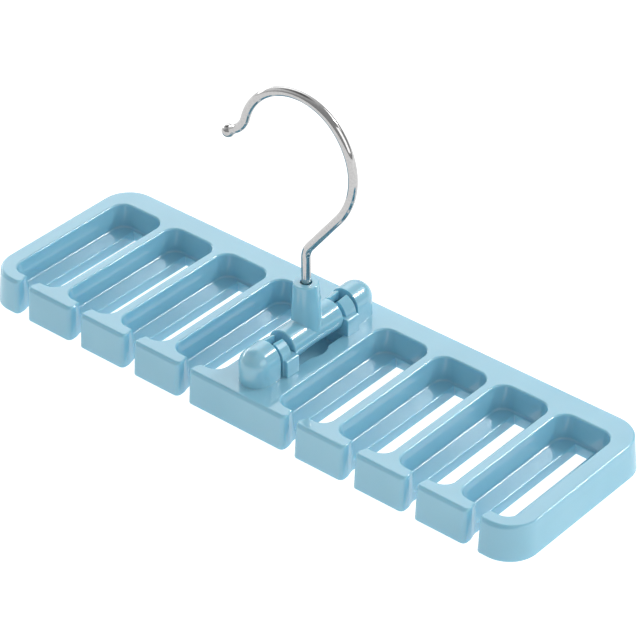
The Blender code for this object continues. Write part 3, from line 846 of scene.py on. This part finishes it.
def sleeve_shape():
    """The tapered sleeve, with a fillet that follows its foot round the barrel."""
    columns = []
    for step in range(TURN_STEPS):
        angle = 2 * math.pi * step / TURN_STEPS
        along_x, along_y = math.cos(angle), math.sin(angle)
        fillet = between(SLEEVE_SIDE_FILLET, SLEEVE_FILLET, along_y ** 2)
        foot, crossing = sleeve_foot(along_x, along_y)
        wall = sleeve_radius(crossing + fillet)
        reach = foot + fillet
        skin = barrel_top(reach * along_x, reach * along_y) - SKIN_OVERLAP
        column = [(SLEEVE_CORE, 0.0), (reach - SLEEVE_TUCK, 0.0), (reach, skin - SLEEVE_SUNK)]
        for part in range(SLEEVE_FILLET_STEPS + 1):
            share = part / SLEEVE_FILLET_STEPS
            weights = ((1 - share) ** 2, 2 * share * (1 - share), share ** 2)
            radius = weights[0] * reach + weights[1] * foot + weights[2] * wall
            height = weights[0] * skin + weights[1] * crossing + weights[2] * (crossing + fillet)
            column.append((radius, height))
        column += rounded_end(SLEEVE_TOP_RADIUS, SLEEVE_TOP, SLEEVE_ROUND, steps=SLEEVE_TOP_STEPS)
        columns.append([AXLE + Vector((radius * along_x, radius * along_y, height))
                        for radius, height in column])
    return loft(list(zip(*columns)))


def bore_shape():
    """The stem's bore, with a broken edge at its top, over the washer's wider pocket."""
    profile = [(WASHER_POCKET, -2 * BARREL_END_RADIUS), (WASHER_POCKET, -WASHER_SEAT),
               (BORE_RADIUS, -WASHER_SEAT)]
    for turn in quarter(BORE_EDGE_STEPS):
        profile.append((BORE_RADIUS + BORE_ROUND * (1 - math.cos(turn)),
                        SLEEVE_TOP - BORE_ROUND * (1 - math.sin(turn))))
    profile.append((BORE_RADIUS + BORE_ROUND, SLEEVE_TOP + SUNK))
    return loft(turned_rings(profile))


tee_data = joined(shape("swivel_tee_moulding", barrel_shape()), [
    ('UNION', shape("sleeve", sleeve_shape())),
    ('DIFFERENCE', shape("bore", bore_shape()))])
new_piece("swivel_tee_moulding", tee_data, plastic, "tee", "swivel_tee")


# Wire hook
# Hard-drawn steel wire of 3.2 mm, bent in one plane on a former, with a ball upset on its tip,
# then chromed bright. Its lower end is riveted over the washer after it is pushed through.

WIRE_RADIUS = 0.0016
REST_TURN = math.radians(5)
STEM_SHOWN = 0.0123             # from the sleeve's top to the first bend's corner
BENDS = (("bend", 0.0077, 37.9), ("straight", 0.0183, 0), ("bend", 0.0265, -82.6),
         ("bend", 0.0205, -120.9), ("bend", 0.0090, 45.1), ("straight", 0.0033, 0))
BALL_RADIUS = 0.0023
RIVET_RADIUS = 0.0022
RIVET_HEIGHT = 0.0008
WASHER_SPACE = 0.0011           # the washer's thickness and the gap on each side of it
RIVET_TOP = -WASHER_SEAT - WASHER_SPACE
RIVET_SHOULDER = 0.00005        # height over which the rivet narrows to the wire
SHORT_STEP = 0.0006             # distance between points along a bend
RIVET_STEPS = 6
BALL_STEPS = 24
BALL_POLE = 0.02                # the angle left open at the ball's pole, which the cap closes
WIRE_SIDES = 40


def wire_path():
    """(across, height, radius) along the wire, in its own plane, in heights over the axle."""
    points = []
    for turn in quarter(RIVET_STEPS)[1:]:
        points.append((0.0, RIVET_TOP - RIVET_HEIGHT * math.cos(turn), RIVET_RADIUS * math.sin(turn)))
    points.append((0.0, RIVET_TOP + RIVET_SHOULDER, WIRE_RADIUS))
    first_radius, first_angle = BENDS[0][1], math.radians(BENDS[0][2])
    bend_start = SLEEVE_TOP + STEM_SHOWN - first_radius * math.tan(first_angle / 2)
    across, height, heading = 0.0, bend_start, 0.0
    points.append((across, height, WIRE_RADIUS))
    for kind, size, degrees in BENDS:
        if kind == "straight":
            across += size * math.sin(heading)
            height += size * math.cos(heading)
            points.append((across, height, WIRE_RADIUS))
            continue
        angle = math.radians(degrees)
        side = math.copysign(1, angle)
        middle_across = across + side * size * math.cos(heading)
        middle_height = height - side * size * math.sin(heading)
        start, count = heading, math.ceil(abs(angle) * size / SHORT_STEP)
        for step in range(1, count + 1):
            heading = start + angle * step / count
            across = middle_across - side * size * math.cos(heading)
            height = middle_height + side * size * math.sin(heading)
            points.append((across, height, WIRE_RADIUS))
    points.pop()
    neck = math.asin(WIRE_RADIUS / BALL_RADIUS)
    for step in range(BALL_STEPS + 1):
        turn = between(neck, math.pi - BALL_POLE, step / BALL_STEPS)
        reach = -BALL_RADIUS * math.cos(turn)
        points.append((across + reach * math.sin(heading), height + reach * math.cos(heading),
                       BALL_RADIUS * math.sin(turn)))
    return points


def wire_curve(name):
    """The wire's centreline as a curve whose radius is the wire's, turned to its rest."""
    line = bpy.data.curves.new(name, 'CURVE')
    line.dimensions = '3D'
    path = wire_path()
    spline = line.splines.new('POLY')
    spline.points.add(len(path) - 1)
    for point, (across, height, radius) in zip(spline.points, path):
        place = AXLE + Vector((across * math.cos(REST_TURN), across * math.sin(REST_TURN), height))
        point.co = (*place, 1.0)
        point.radius = radius
    made = bpy.data.objects.new(name, line)
    bpy.context.scene.collection.objects.link(made)
    return made


def swept_wire_tree(material):
    """A round section swept along the centreline, as thick as each point's radius."""
    tree, given, output = geometry_tree("swept_wire", {"Sides": 'NodeSocketInt'})
    section = add_node(tree, "GeometryNodeCurvePrimitiveCircle", values={"Radius": 1.0},
                       links={"Resolution": given.outputs["Sides"]})
    thickness = add_node(tree, "GeometryNodeInputRadius")
    swept = add_node(tree, "GeometryNodeCurveToMesh", values={"Fill Caps": True},
                     links={"Curve": given.outputs["Geometry"],
                            "Profile Curve": section.outputs["Curve"],
                            "Scale": thickness.outputs["Radius"]})
    end_tree(tree, swept.outputs["Mesh"], material, output)
    return tree


WIRE_BRIGHT = "#d0cfce"
WIRE_SHADE = "#b2b1b1"
DRAW_WIDTH = 0.0007             # across the faint waves that drawing leaves in the wire
DRAW_DEPTH = 0.000003
CHROME_ROUGHNESS = (0.05, 0.10)


def chromed_wire():
    """Chrome plate over drawn wire: a mirror, slightly wavy, a shade darker where it thins."""
    made, tree, shader = new_material("bright_chrome_on_drawn_wire")
    place = add_node(tree, "ShaderNodeTexCoord")
    waves = add_node(tree, "ShaderNodeTexNoise", values={"Scale": 1 / DRAW_WIDTH, "Detail": 2.0},
                     links={"Vector": place.outputs["Object"]})
    tint = add_node(tree, "ShaderNodeValToRGB", links={"Fac": waves.outputs["Fac"]})
    tint.color_ramp.elements[0].color = linear(WIRE_SHADE)
    tint.color_ramp.elements[1].color = linear(WIRE_BRIGHT)
    gloss = add_node(tree, "ShaderNodeMapRange",
                     values={"To Min": CHROME_ROUGHNESS[0], "To Max": CHROME_ROUGHNESS[1]},
                     links={"Value": waves.outputs["Fac"]})
    skin = add_node(tree, "ShaderNodeBump", values={"Strength": 1.0, "Distance": DRAW_DEPTH},
                    links={"Height": waves.outputs["Fac"]})
    tree.links.new(tint.outputs["Color"], shader.inputs["Base Color"])
    tree.links.new(gloss.outputs["Result"], shader.inputs["Roughness"])
    tree.links.new(skin.outputs["Normal"], shader.inputs["Normal"])
    shader.inputs["Metallic"].default_value = 1.0
    return made


chrome = chromed_wire()
hook_data = run_tree(wire_curve("hook_wire"), swept_wire_tree(chrome), {"Sides": WIRE_SIDES})
new_piece("hook_wire", hook_data, chrome, "hook", "wire_hook")


# Washer
# A small punched steel washer, zinc plated, in the pocket between the barrel and the riveted
# end. It carries the rack's weight, and it is hidden unless the hanger is looked at from below.

WASHER_RADIUS = 0.0030
WASHER_HOLE = 0.00185           # radius
WASHER_GAP = 0.00025            # under its seat
WASHER_TOP = -WASHER_SEAT - WASHER_GAP
WASHER_THICKNESS = 0.0006
WASHER_ROUND = 0.00012
WASHER_EDGE_STEPS = 3
SAME_PLACE = 0.000001           # closer than this, two vertices are one
ZINC_GREY = "#b4b6b8"
ZINC_ROUGHNESS = (0.28, 0.42)
GRAIN_WIDTH = 0.0004            # drawn coarser than real zinc crystals, so that they show


def washer_shape():
    low = WASHER_TOP - WASHER_THICKNESS
    outer = rounded_end(WASHER_RADIUS, low, WASHER_ROUND, way=-1, steps=WASHER_EDGE_STEPS)
    outer += rounded_end(WASHER_RADIUS, WASHER_TOP, WASHER_ROUND, steps=WASHER_EDGE_STEPS)
    section = outer + [(WASHER_HOLE, WASHER_TOP), (WASHER_HOLE, low)]
    return loft(turned_rings(section + section[:1]), closed_ends=False)


def zinc_plated_steel():
    """A dull bright metal, mottled by its zinc crystals."""
    made, tree, shader = new_material("zinc_plated_steel")
    place = add_node(tree, "ShaderNodeTexCoord")
    grain = add_node(tree, "ShaderNodeTexVoronoi", values={"Scale": 1 / GRAIN_WIDTH},
                     links={"Vector": place.outputs["Object"]})
    tone = add_node(tree, "ShaderNodeMapRange",
                    values={"To Min": ZINC_ROUGHNESS[0], "To Max": ZINC_ROUGHNESS[1]},
                    links={"Value": grain.outputs["Distance"]})
    tree.links.new(tone.outputs["Result"], shader.inputs["Roughness"])
    shader.inputs["Base Color"].default_value = linear(ZINC_GREY)
    shader.inputs["Metallic"].default_value = 1.0
    return made


washer = washer_shape()
bmesh.ops.remove_doubles(washer, verts=washer.verts, dist=SAME_PLACE)
washer_holder = shape("stem_washer_ring", washer)
new_piece("stem_washer_ring", plain_mesh(washer_holder), zinc_plated_steel(), "hook",
          "stem_washer")


# Studio
# White seamless paper under four soft lights: a broad box and a small bright lamp at the back
# on the right, which draws the crisp lines along the edges, a panel on the right and a low
# strip on the left. The room is brightest at the back on the left, under a dark ceiling.

def facing(azimuth, height):
    """The unit vector towards a place in the room: degrees round from +X, degrees up."""
    turn, rise = math.radians(azimuth), math.radians(height)
    return Vector((math.cos(turn) * math.cos(rise), math.sin(turn) * math.cos(rise), math.sin(rise)))


def soft_box(name, direction, distance, size, radiance):
    light = bpy.data.lights.new(name, 'AREA')
    light.shape = 'RECTANGLE'
    light.size, light.size_y = size
    light.energy = radiance * math.pi * size[0] * size[1]
    holder = bpy.data.objects.new(name, light)
    bpy.context.scene.collection.objects.link(holder)
    towards = facing(*direction)
    holder.location = towards * distance
    holder.rotation_euler = towards.to_track_quat('Z', 'Y').to_euler()


# name, (degrees round from +X, degrees up), distance, (width, height), brightness
LIGHTS = (("back_right_box", (62, 38), 1.2, (0.58, 0.42), 2.7),
          ("back_right_lamp", (54, 38), 1.2, (0.17, 0.15), 30.0),
          ("right_panel", (0, 25), 1.4, (1.1, 0.8), 1.5),
          ("left_strip", (171, 13), 1.2, (0.9, 0.16), 5.0))
for light in LIGHTS:
    soft_box(*light)

ROOM_WHITE = "#fbfcfd"
ROOM_LOW = 0.36                 # brightness of the room at eye level
ROOM_HIGH = 0.42                # and overhead
GLOWS = (((165, 34), 80, 0.7),  # the bright wall on the left: where, how wide, how bright,
         ((141, 35), 29, 1.15),  # its middle, whose reflection pales the rack's top,
         ((175, 62), 38, -0.85))  # and the dark ceiling that the hook's crown mirrors
PAPER_GLOW = 0.80
PAPER_SHOWN = 0.95              # the camera sees the paper burnt out, as in a cut-out photograph
PAPER_GREY = "#9b9c9d"
PAPER_WHITE = "#ffffff"
PAPER_ROUGHNESS = 0.9


def pale_room():
    room = bpy.data.worlds.new("pale_room")
    room.use_nodes = True
    tree = room.node_tree
    sky = tree.nodes["Background"]
    place = add_node(tree, "ShaderNodeTexCoord")
    split = add_node(tree, "ShaderNodeSeparateXYZ", links={"Vector": place.outputs["Generated"]})
    rise = add_node(tree, "ShaderNodeMapRange", values={"To Min": ROOM_LOW, "To Max": ROOM_HIGH},
                    links={"Value": split.outputs["Z"]})
    total = rise.outputs["Result"]
    for towards, width, brightness in GLOWS:
        along = add_node(tree, "ShaderNodeVectorMath", {"operation": 'DOT_PRODUCT'},
                         {1: facing(*towards)}, {0: place.outputs["Generated"]})
        glow = add_node(tree, "ShaderNodeMapRange", {"interpolation_type": 'SMOOTHSTEP'},
                        {"From Min": math.cos(math.radians(width)), "From Max": 1.0, "To Max": brightness},
                        {"Value": along.outputs["Value"]})
        total = add_node(tree, "ShaderNodeMath", {"operation": 'ADD'}, None,
                         {0: total, 1: glow.outputs["Result"]}).outputs["Value"]
    path = add_node(tree, "ShaderNodeLightPath")
    shown = add_node(tree, "ShaderNodeMix", {"data_type": 'FLOAT'}, {"B": 1.0},
                     {"Factor": path.outputs["Is Camera Ray"], "A": total})
    sky.inputs["Color"].default_value = linear(ROOM_WHITE)
    tree.links.new(shown.outputs["Result"], sky.inputs["Strength"])
    bpy.context.scene.world = room


def white_paper():
    made, tree, shader = new_material("white_paper_sweep")
    path = add_node(tree, "ShaderNodeLightPath")
    glow = add_node(tree, "ShaderNodeMapRange", values={"To Min": PAPER_GLOW, "To Max": PAPER_SHOWN},
                    links={"Value": path.outputs["Is Camera Ray"]})
    tree.links.new(glow.outputs["Result"], shader.inputs["Emission Strength"])
    shader.inputs["Base Color"].default_value = linear(PAPER_GREY)
    shader.inputs["Roughness"].default_value = PAPER_ROUGHNESS
    shader.inputs["Emission Color"].default_value = linear(PAPER_WHITE)
    return made


FLOOR_SIZE = 6.0
FLOOR_DROP = 0.0005             # below the rack's underside, so that the two faces don't meet
floor_mesh = bmesh.new()
bmesh.ops.create_grid(floor_mesh, x_segments=1, y_segments=1, size=FLOOR_SIZE / 2)
floor_data = bpy.data.meshes.new("studio_floor")
floor_mesh.to_mesh(floor_data)
floor_mesh.free()
floor_data.materials.append(white_paper())
floor = bpy.data.objects.new("studio_floor", floor_data)
floor.location.z = -FLOOR_DROP
bpy.context.scene.collection.objects.link(floor)
pale_room()
bpy.context.scene.view_settings.view_transform = 'Standard'


# Camera
# At the photograph's place: the corners of the rack and the hook fall where they do there.

CAMERA_PLACE = (0.52719, -0.61335, 0.58502)
CAMERA_AZIMUTH = math.radians(40.328)
CAMERA_HEIGHT = math.radians(34.776)
CAMERA_ROLL = math.radians(-0.143)
FOCAL_PIXELS = 2976.97
FRAME_PIXELS = 640
SENSOR = 36.0                   # mm
SEEN_TO = 10.0

forward = Vector((-math.sin(CAMERA_AZIMUTH) * math.cos(CAMERA_HEIGHT),
                  math.cos(CAMERA_AZIMUTH) * math.cos(CAMERA_HEIGHT), -math.sin(CAMERA_HEIGHT)))
level_right = forward.cross(Vector((0, 0, 1))).normalized()
level_up = level_right.cross(forward)
right = level_right * math.cos(CAMERA_ROLL) + level_up * math.sin(CAMERA_ROLL)
upward = level_up * math.cos(CAMERA_ROLL) - level_right * math.sin(CAMERA_ROLL)
lens = bpy.data.cameras.new("photo_camera")
lens.sensor_width = SENSOR
lens.lens = FOCAL_PIXELS / FRAME_PIXELS * SENSOR
lens.clip_end = SEEN_TO
camera = bpy.data.objects.new("photo_camera", lens)
bpy.context.scene.collection.objects.link(camera)
turned = Matrix((right, upward, -forward)).transposed().to_4x4()
camera.matrix_world = Matrix.Translation(CAMERA_PLACE) @ turned
bpy.context.scene.camera = camera
